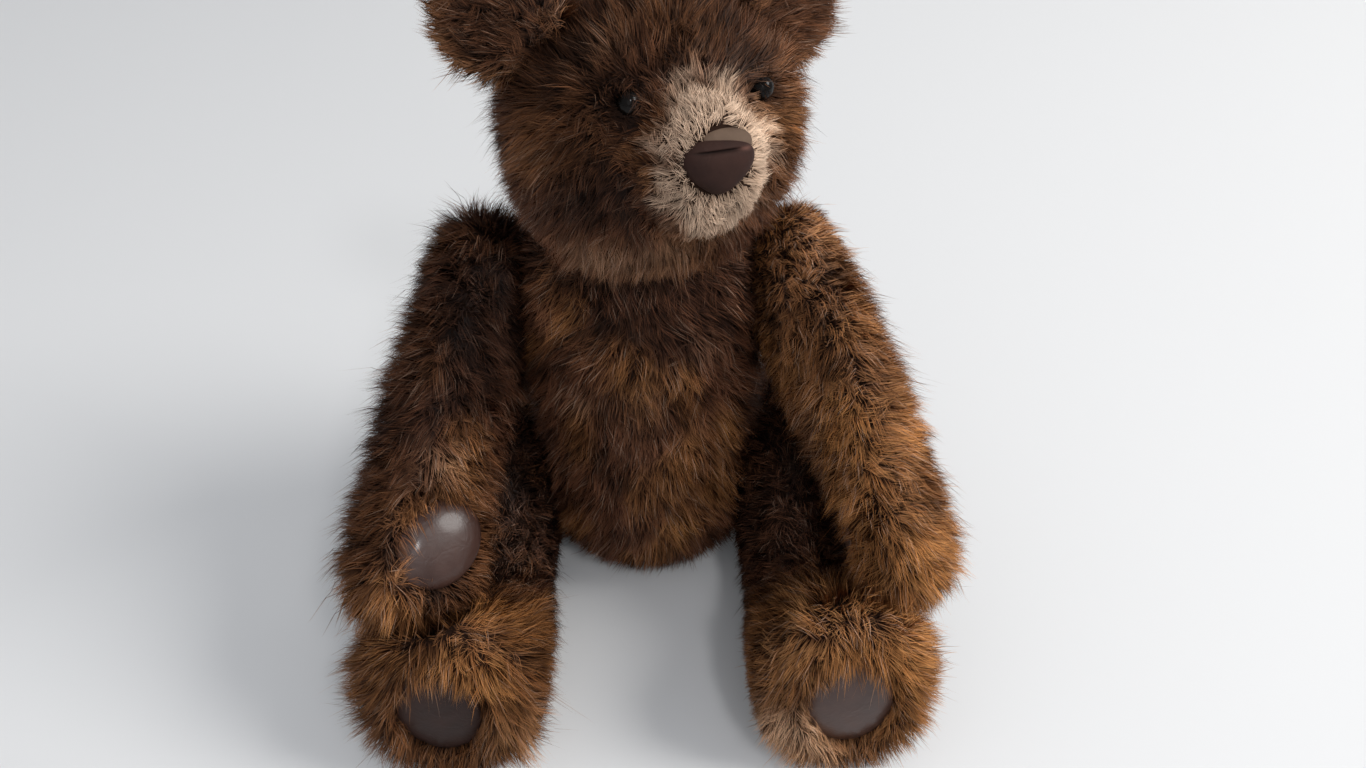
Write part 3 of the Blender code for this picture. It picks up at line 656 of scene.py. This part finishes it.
def off_pad(roots, node, margin):
    """Which roots lie outside a pad's oval, how far out (1 on its edge), and their offsets."""
    centre, vectors, spots = pad_plane(node)
    half = [np.abs(spots @ vectors[:, n]).max() + margin for n in (1, 2)]
    local = (roots - centre) @ vectors
    u, v = askew(node, local[:, 1], local[:, 2], back=True)
    oval = np.sqrt((u / half[0]) ** 2 + (v / half[1]) ** 2)
    near = np.abs(local[:, 0]) < PAD_NEAR
    return ~((oval < 1) & near), np.where(near, oval, FAR_OUT), roots - centre


def make_pad(node, body):
    """A domed leather pad with a thin rolled rim, over the one in the frame."""
    centre, vectors, spots = pad_plane(node)
    outward = vectors[:, 0] * np.sign((centre - middle(body)) @ vectors[:, 0])
    across = [spots @ vectors[:, n] for n in (1, 2)]
    shift = [(a.max() + a.min()) / 2 for a in across]
    reach = [(a.max() - a.min()) / 2 for a in across]
    rise = spots @ outward
    top, dome = rise.max(), rise.max() - rise.min() - PAD_THICKNESS
    bm = bmesh.new()
    rings, sides = 18, 72
    shells = []
    for below in (0.0, PAD_THICKNESS):
        loops = []
        for ring in range(rings + 1):
            share = ring / rings
            height = top - below - dome * (0.55 * share**2 + 0.45 * share**5)
            row = []
            for side in range(sides if ring else 1):
                angle = side / sides * 2 * math.pi
                u = shift[0] + reach[0] * share * math.cos(angle)
                v = shift[1] + reach[1] * share * math.sin(angle)
                u, v = askew(node, u, v)
                spot = centre + vectors[:, 1] * u + vectors[:, 2] * v + outward * height
                row.append(bm.verts.new(spot))
            loops.append(row)
        shells.append(loops)
    for loops in shells:
        for inner, outer in zip(loops, loops[1:]):
            for side in range(sides):
                after = (side + 1) % sides
                if len(inner) == 1:
                    bm.faces.new([inner[0], outer[side], outer[after]])
                else:
                    bm.faces.new([inner[side], outer[side], outer[after], inner[after]])
    upper, lower = shells[0][-1], shells[1][-1]
    for side in range(sides):
        after = (side + 1) % sides
        bm.faces.new([upper[side], lower[side], lower[after], upper[after]])
    bmesh.ops.recalc_face_normals(bm, faces=bm.faces)
    mesh = bpy.data.meshes.new(node + "_leather")
    bm.to_mesh(mesh)
    bm.free()
    mesh.shade_smooth()
    # The right foot's pad takes the leather darkened as painted shade
    mesh.materials.append(pad_leather_in_painted_shade if node == "foot_pad_right" else pad_leather)
    pad = add_object(node + "_leather", mesh)
    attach(pad, body)
    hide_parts(node)


for limb, kind in (("arm", "hand"), ("leg", "foot")):
    for side in ("left", "right"):
        make_pad(f"{kind}_pad_{side}", f"{limb}_{side}")


# Nose

# On a ball of radius 1: the crease's height and width, and the side where it is rubbed smooth
CREASE_UP, CREASE_WIDTH, CREASE_REACH = 0.52, 0.055, 0.62
SCUFF_SIDE, SCUFF_WIDTH = 0.58, 0.16
# How much the crease is darkened, as painted shade in the fold, and how much paler the scuff at its
# end is, which is wear
CREASE_PAINTED_SHADE, SCUFF_PALE = 0.72, 2.6
SQUARENESS = 2.6


def nose_shell(name, material, shift, size, grain=112, crease=0.0021):
    """A stuffed nose, wide and flat on top and round below, with a crease across it."""
    place = places["head"]
    spots = to_local(points_of(nodes["nose"].data), place)
    most, least = spots.max(axis=0), spots.min(axis=0)
    centre, half = (most + least) / 2, (most - least) / 2
    bm = bmesh.new()
    bmesh.ops.create_uvsphere(bm, u_segments=grain, v_segments=grain // 2, radius=1)
    crease_shade_and_scuff_values = []
    for vert in bm.verts:
        along, across, up = vert.co.x, vert.co.y, vert.co.z
        front = along > 0
        level = (up - CREASE_UP + 0.06 * (across - 0.2) ** 2) / CREASE_WIDTH
        scuff = math.exp(-(level**2) / 1.6 - ((across - SCUFF_SIDE) / SCUFF_WIDTH) ** 2)
        fold = math.exp(-(level**2)) * math.exp(-(((across + 0.05) / CREASE_REACH) ** 4))
        # Darker in the crease as painted shade; paler at the scuff, which is wear
        crease_shade_and_scuff_values.append(1 - CREASE_PAINTED_SHADE * fold * (1 - scuff) + SCUFF_PALE * scuff if front else 1.0)
        square = (abs(across) ** SQUARENESS + abs(along) ** SQUARENESS) ** (1 / SQUARENESS)
        swell = 1 + (math.hypot(along, across) / (square or 1.0) - 1) * 0.5
        across, along = across * swell, along * swell
        wide = 1.02 + 0.26 * up - 0.20 * up * up
        groove = crease * fold * (1 - 0.7 * scuff) if front else 0.0
        flat = up - 0.24 * max(up, 0.0) ** 2
        local = centre + np.array(shift) + np.array([
            along * half[0] * size - groove,
            across * wide * half[1] / 1.06 * size,
            (flat + 0.04) * half[2] / 0.90 * size,
        ])
        vert.co = Vector(place[0] + local @ place[1])
    mesh = bpy.data.meshes.new(name)
    bm.to_mesh(mesh)
    bm.free()
    crease_shade_and_scuff = mesh.color_attributes.new("crease_shade_and_scuff", "FLOAT_COLOR", "POINT")
    crease_shade_and_scuff.data.foreach_set("color", [value for share in crease_shade_and_scuff_values for value in (share, share, share, 1)])
    mesh.shade_smooth()
    mesh.materials.append(material)
    shell = add_object(name, mesh)
    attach(shell, "head")
    return shell


nose = nose_shell("nose_leather", nose_leather, (0, 0.0006, 0), 0.955)
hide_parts("nose")
nose_shell("nose_lip", lip_suede, (-0.0022, 0.0046, 0.0054), 0.71, grain=32, crease=0.0)


# Fur rules
# Each gives the hair's flow, length, lift from the skin, tone, gold and tan, and where it grows

BODY_FUR = 0.0112
MUZZLE_FUR = 0.0052
FACE_FUR = 0.0058  # how much longer than the muzzle's
TEMPLE_FUR = 0.0060  # how much longer again, below the ears
EAR_FUR = 0.0100
BODY_LIFT = 0.98

# Round each eye: the bare radius, how far fur leans over it, and how much darker that fur is, as
# painted shade in the eye's hollow
EYE_FUR = {"left": (0.0022, 0.60, 0.22), "right": (0.0034, 1.0, 0.34)}

# Bare under the nose and under its lip: place across and up, half width and half height
NOSE_OVALS = ((0.0008, -0.0010, 0.0126, 0.0108), (0.0036, 0.0056, 0.0094, 0.0080))
FACE_BACK = -0.014
MUZZLE_EDGE = (0.026, 0.045)

# On the head: where the fur stops fanning out, grows longer and rises, from the nose outward
FAN_END, LONGER, RISING = (0.026, 0.050), (0.028, 0.060), (0.03, 0.055)
BROW_START, BROW_END = 0.016, 0.040
TEMPLE_HEIGHT, TEMPLE_SPREAD, TEMPLE_SIDE = 0.085, 0.018, (0.035, 0.055)
MUZZLE_LIGHT, BROW_DARK = 0.29, 0.26

# What the arms don't share: length at the shoulder, gold, tone, and the palm's bare margin. The left
# arm, on the window's side, gets gold and a lighter tone that are partly its fur's colour and partly
# painted light.
ARM_SIDES = {"left": (-0.0030, 0.42, 0.17, -0.006), "right": (0.0035, 0.0, -0.04, -0.001)}

# What the legs don't share: length inside, length outside the foot, the foot's gold, tone
LEG_SIDES = {"left": (0.0, 0.0010, 0.15, 0.06), "right": (0.0095, 0.0030, 0.0, 0.0)}
SOLE_MARGIN = -0.001


def head_hair(roots):
    """Short and pale on the muzzle, longer and darker outward, combed away from the nose."""
    place = places["head"]
    spot = to_local(roots, place)
    nose = to_local(middle("nose")[None], place)[0]
    away = spot - nose
    reach = np.linalg.norm(away, axis=1)
    fan = 1 - step(reach, *FAN_END)
    brow = step(spot[:, 2], nose[2] + BROW_START, nose[2] + BROW_END)
    flow = unit(away) * (0.45 + 1.2 * fan)[:, None] + np.array([-0.35, 0, 0])
    flow[:, 2] += (1 - fan) * (brow * 0.9 - 1.1 * (1 - brow))
    flow[:, 1] += np.sign(spot[:, 1]) * 0.5 * (1 - fan) * brow
    flow += waves(roots, 0.030, 9, 3) * 0.30
    edge = wave(roots, 0.012, 5) * 0.006
    edge = edge - 0.004 * step(spot[:, 2], nose[2] + 0.018, nose[2] + 0.036)
    edge -= 0.013 * step(-away[:, 1], 0.002, 0.020)
    muzzle = 1 - step(reach - edge, *MUZZLE_EDGE)
    length = MUZZLE_FUR + FACE_FUR * step(reach, *LONGER)
    temple = np.exp(-(((spot[:, 2] - TEMPLE_HEIGHT) / TEMPLE_SPREAD) ** 2))
    length += TEMPLE_FUR * (temple * step(np.abs(spot[:, 1]), *TEMPLE_SIDE))
    lift = 0.55 + 0.42 * step(reach, *RISING)
    gold = 0.20 * step(wave(roots, 0.05, 6), 0.1, 1.0) + 0.12 * muzzle
    tone = 0.25 + 0.10 * wave(roots, 0.030, 7) + MUZZLE_LIGHT * muzzle - BROW_DARK * brow
    mask = np.ones(len(roots), bool)
    for side, (bare, cover, dark) in EYE_FUR.items():
        off = spot - to_local(middle(f"eye_{side}")[None], place)[0]
        gap = np.linalg.norm(off[:, 1:], axis=1)
        front = off[:, 0] > FACE_BACK
        mask &= ~((gap < bare) & front)
        close = (1 - step(gap, 0.006, 0.014)) * front
        lean = close * step(off[:, 2], -0.002, 0.002) * cover
        push = 0.8 * (close - lean) - 1.6 * lean
        flow = flow * (1 - lean)[:, None] + unit(off) * push[:, None]
        length *= 1 + 0.45 * lean - 0.15 * (close - lean)
        lift = lift + 0.15 * close
        # Painted shade: the fur round the sunken eye is darkened
        tone -= dark * (1 - step(gap, 0.005, 0.014)) * front
        muzzle *= 1 - 0.9 * (1 - step(gap, 0.007, 0.015)) * front
    oval = np.min([
        np.hypot((away[:, 1] - across) / wide, (away[:, 2] - up) / tall)
        for across, up, wide, tall in NOSE_OVALS
    ], axis=0)
    mask &= ~((oval < 1) & (away[:, 0] > FACE_BACK))
    rim = 1 - step(oval, 1.0, 1.35)
    lift = lift + 0.35 * rim
    return turn_back(flow, place), length * (1 - 0.15 * rim), lift, tone, gold, muzzle * 0.92, mask


def torso_hair(roots):
    """Combed down, and longer at the sides below the arms."""
    flow = np.tile(np.array([0.0, -0.10, -1.0]), (len(roots), 1))
    flow[:, 0] += roots[:, 0] * (5 + 9 * (1 - step(roots[:, 2], 0.07, 0.15)))
    flow += waves(roots, 0.05, 21, 3) * 0.5
    sides = step(np.abs(roots[:, 0]), 0.036, 0.050) * (1 - step(roots[:, 2], 0.150, 0.175))
    length = BODY_FUR * (1 + 0.35 * sides) * (0.75 + 0.25 * step(roots[:, 2], 0.010, 0.040))
    lift = BODY_LIFT + 0.12 * wave(roots, 0.03, 22)
    gold = 0.48 * step(wave(roots, 0.030, 23), 0.0, 1.0)
    tone = 0.37 + 0.19 * wave(roots, 0.025, 24)
    tone = tone + 0.05 * (1 - step(roots[:, 2], 0.08, 0.13))
    return flow, length, lift, tone, gold, np.zeros(len(roots)), np.ones(len(roots), bool)


def arm_hair(roots, name):
    """Combed towards the paw, and away from the palm or over its outer edge."""
    place = places[name]
    spot = to_local(roots, place)
    side = name.split("_")[1]
    cap_more, golden, lighter, margin = ARM_SIDES[side]
    flow = np.tile(np.array([1.0, 0.0, 0.0]), (len(roots), 1))
    flow[:, 2] += 18 * (spot[:, 2] - 0.024)
    flow = turn_back(flow, place) + waves(roots, 0.05, 31, 3) * 0.35
    flow[:, 2] -= 0.25
    upper = (1 - step(spot[:, 0], 0.06, 0.12)) * step(spot[:, 0], -0.01, 0.02)
    cap = 1 - step(spot[:, 0], -0.01, 0.02)
    outer = step(spot[:, 2], 0.030, 0.046)
    paw = step(spot[:, 0], 0.085, 0.150)
    length = BODY_FUR + 0.0030 * outer * upper + cap * cap_more
    length += 0.0025 * paw * outer
    lift = BODY_LIFT + 0.10 * wave(roots, 0.03, 32)
    gold = 0.34 * step(wave(roots, 0.03, 33 + len(name)), 0.0, 1.0) + golden
    tone = 0.26 + 0.16 * wave(roots, 0.025, 34) + lighter
    if side == "right":
        gold += 0.20 * paw
        tone += 0.08 * paw
    mask, oval, out = off_pad(roots, f"hand_pad_{side}", margin)
    rim = 1 - step(oval, 1.0, 1.7)
    over = step(-out[:, 0], 0.002, 0.009) * step(out[:, 2], -0.016, -0.006)
    length = length * (1 + 0.35 * over * rim)
    outward = 1.1 * rim * (1 - 2.2 * over if side == "right" else -1)
    flow = flow + unit(out) * outward[:, None]
    return flow, length * (1 - 0.3 * rim), lift, tone, gold, np.zeros(len(roots)), mask


def leg_hair(roots, name):
    """Combed towards the foot, parted over its top, and away from the sole."""
    place = places[name]
    spot = to_local(roots, place)
    side = name.split("_")[1]
    inner_more, foot_more, golden, lighter = LEG_SIDES[side]
    flow = np.tile(np.array([1.0, 0.0, 0.0]), (len(roots), 1))
    flow = turn_back(flow, place) + waves(roots, 0.05, 41, 3) * 0.35
    foot = step(spot[:, 0], 0.095, 0.140)
    high = step(roots[:, 2], 0.045, 0.085)
    inner = step(-spot[:, 2], -0.020, -0.006) * step(spot[:, 0], 0.07, 0.11)
    length = BODY_FUR + inner_more * inner
    length += foot_more * foot * step(spot[:, 2], 0.030, 0.046)
    lift = BODY_LIFT + 0.10 * wave(roots, 0.03, 42)
    gold = 0.20 * step(wave(roots, 0.03, 43 + len(name)), 0.0, 1.0)
    gold = gold + foot * (0.35 + 0.25 * high) + golden * foot
    tone = 0.24 + 0.16 * wave(roots, 0.025, 44) + 0.10 * foot + lighter
    mask, oval, out = off_pad(roots, f"foot_pad_{side}", SOLE_MARGIN)
    rim = 1 - step(oval, 1.0, 1.8)
    over = step(out[:, 2], 0.012, 0.024) * rim
    top = step(out[:, 2] - 0.25 * np.abs(out[:, 0]), 0.000, 0.022)
    radial = (1.2 * foot + 0.8 * rim) * (1 - top)
    flow = flow * (1 - 0.6 * foot * (1 - top))[:, None] + unit(out) * radial[:, None]
    part = np.sign(out[:, 0]) * step(np.abs(out[:, 0]), 0.004, 0.024)
    flow[:, 0] += 0.9 * foot * top * part
    flow[:, 2] -= (0.5 + 0.6 * top) * foot + 1.0 * over
    length = length * (1 - 0.25 * rim * (1 - over))
    return flow, length, lift, tone, gold, np.zeros(len(roots)), mask


def ear_hair(roots, name):
    """Combed outward from the ear's middle, golden at its rim."""
    centre = middle(name)
    out = unit(centre - middle("head"))
    flow = (roots - centre) * 30 + out * 1.2 + waves(roots, 0.03, 51, 3) * 0.3
    length = np.full(len(roots), EAR_FUR)
    lift = 0.95 + 0.15 * wave(roots, 0.02, 52)
    rim = step(np.linalg.norm(roots - centre, axis=1), 0.016, 0.027)
    gold = 0.10 + 0.45 * rim
    tone = 0.18 + 0.30 * rim + 0.10 * wave(roots, 0.03, 53)
    return flow, length, lift, tone, gold, 0.1 * rim, np.ones(len(roots), bool)


PLANS = [
    # Piece, body, fur rule, guard hairs, under hairs, tuft size, pelt grain, sewn on
    ("head", "head", head_hair, 28000, 78000, 22, 0.0022, ("nose", "eye_left", "eye_right")),
    ("torso", "torso", torso_hair, 25000, 64000, 22, 0.0026, ()),
    ("arm_left", "arm_left", arm_hair, 19000, 48000, 22, 0.0024, ("hand_pad_left",)),
    ("arm_right", "arm_right", arm_hair, 19000, 50000, 22, 0.0024, ("hand_pad_right",)),
    ("leg_left", "leg_left", leg_hair, 20000, 50000, 22, 0.0026, ("foot_pad_left",)),
    ("leg_right", "leg_right", leg_hair, 20000, 50000, 22, 0.0026, ("foot_pad_right",)),
    ("ear_left", "head", ear_hair, 5000, 11000, 20, 0.0018, ()),
    ("ear_right", "head", ear_hair, 5000, 11000, 20, 0.0018, ()),
]


def eye_fill(side):
    """Fills an eye's hollow in the head up to the skin round it."""
    centre = middle(f"eye_{side}")
    out = unit(centre - (middle("head") * 0.6 + places["head"][0] * 0.4))
    across = unit(np.cross(out, [0.0, 0.0, 1.0]))
    return (centre, np.array([across, np.cross(out, across), out])), EYE_HOLLOW, EYE_DEEP, EYE_OUT


# Name, bends, width, and length against the fur rule's
HAIRS = (("guard_hair", 2, 0.00032, 1.18), ("under_hair", 1, 0.00056, 0.84))
STRAYS = 0.10

for piece, body, rule, guards, unders, tuft, grain, sewn_on in PLANS:
    plugs, flats = [], []
    if piece == "torso":
        plugs = [room(name, -1) for name in joints]
        flats = [(place, 1) for place in places.values()]
    elif piece in LIMBS:
        plugs = [room(LIMBS[piece], 1)]
        flats = [(places[piece], -1)]
    if piece == "head":
        plugs += [eye_fill(side) for side in ("left", "right")]
    depth = EAR_DEPTH if "ear" in piece else PELT_DEPTH
    pelt = make_pelt(piece, body, plugs, sewn_on, flats, depth, grain)
    named = (piece,) if rule in (arm_hair, leg_hair, ear_hair) else ()
    for (label, bends, wide, longer), count in zip(HAIRS, (guards, unders)):
        roots, normals = scatter(pelt, int(count * (1.0)))
        flow, length, lift, tone, gold, tan, mask = rule(roots, *named)
        more = patched(roots, piece)
        tone, gold, tan = tone + more[0], gold + more[1], np.clip(tan + more[2], 0, 1)
        beside = beside_joints(roots, normals, flats)
        pressed = np.where(roots[:, 2] < LOW_FUR, LOW_SHORTER, 1.0)
        length = length * (1 - BESIDE_SHORTER * beside) * pressed
        # Painted shade where the skin lies against its neighbour at a joint
        tone = tone - BESIDE_PAINTED_SHADE * beside
        roots, normals, flow, length, lift, tone, gold, tan = (
            item[mask] for item in (roots, normals, flow, length, lift, tone, gold, tan)
        )
        if label == "guard_hair":
            stray = rng.random(len(roots)) < STRAYS
            length = np.where(stray & (tan < 0.5), length * 1.35, length)
            lift = np.where(stray, lift * 1.25, lift)
        else:
            lift = lift * 1.15
            tone = tone - 0.05
        width = wide * (1 - 0.2 * (tan > 0.5))
        grow(
            f"{piece}_{label}", body, roots, normals, flow, length * longer, lift, width,
            tone, gold, tan, tuft, bends,
        )


# Floor, backdrop, light and camera

SKY, SKY_STRENGTH = (0.92, 0.95, 1.0), 0.52
PAPER = (0.78, 0.78, 0.78)


def sweep():
    """A pale floor that curves up into a backdrop, well behind the bear."""
    reach, start, bend, tall, steps = 2.4, 1.6, 0.5, 1.8, 12
    profile = [(-reach, 0.0), (start, 0.0)]
    for n in range(1, steps + 1):
        angle = n / steps * math.pi / 2
        profile.append((start + bend * math.sin(angle), bend - bend * math.cos(angle)))
    profile.append((start + bend, tall))
    bm = bmesh.new()
    rows = [[bm.verts.new((x, y, z)) for y, z in profile] for x in (-reach, reach)]
    for n in range(len(profile) - 1):
        bm.faces.new((rows[0][n], rows[1][n], rows[1][n + 1], rows[0][n + 1]))
    mesh = bpy.data.meshes.new("studio_sweep")
    bm.to_mesh(mesh)
    bm.free()
    mesh.shade_smooth()
    mesh.materials.append(new_material("studio_paper", 0.9, PAPER)[0])
    made = add_object("studio_sweep", mesh)
    made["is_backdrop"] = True


sweep()
world = bpy.data.worlds.new("studio_air")
bpy.context.scene.world = world
world.use_nodes = True
air = world.node_tree.nodes["Background"]
air.inputs["Color"].default_value = (*SKY, 1)
air.inputs["Strength"].default_value = SKY_STRENGTH

LAMPS = (
    # Name, place, aim, width, power and colour
    ("window", (2.3, -0.28, 2.2), (0, 0, 0.15), 1.4, 66, (1.0, 0.985, 0.96)),
    ("palm_lamp", (0.33, -0.73, 1.05), (-0.10, -0.11, 0.11), 0.14, 2.2, (0.98, 0.98, 1.0)),
    ("front_fill", (0.1, -1.4, 1.0), (0, 0, 0.15), 1.2, 2, (0.96, 0.98, 1.0)),
)

for name, place, aim, width, power, colour in LAMPS:
    lamp = bpy.data.lights.new(name, "AREA")
    lamp.shape = "DISK"
    lamp.size = width
    lamp.energy = power
    lamp.color = colour
    ahead = (Vector(aim) - Vector(place)).normalized()
    turn = ahead.to_track_quat("-Z", "Y").to_matrix().to_4x4()
    add_object(name, lamp).matrix_world = Matrix.Translation(place) @ turn

CAMERA_PLACE = (0.0215, -0.415, 0.489)
CAMERA_DOWN, CAMERA_ROLL = 42.6, -1.2
LENS_MM, SENSOR_MM = 27.0, 36.0

lens = bpy.data.cameras.new("camera")
lens.lens = LENS_MM
lens.sensor_width = SENSOR_MM
camera = add_object("camera", lens)
camera.matrix_world = (
    Matrix.Translation(CAMERA_PLACE)
    @ Matrix.Rotation(math.radians(90 - CAMERA_DOWN), 4, "X")
    @ Matrix.Rotation(math.radians(CAMERA_ROLL), 4, "Z")
)
bpy.context.scene.camera = camera
bpy.context.scene.view_settings.view_transform = "Standard"

low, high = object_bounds()
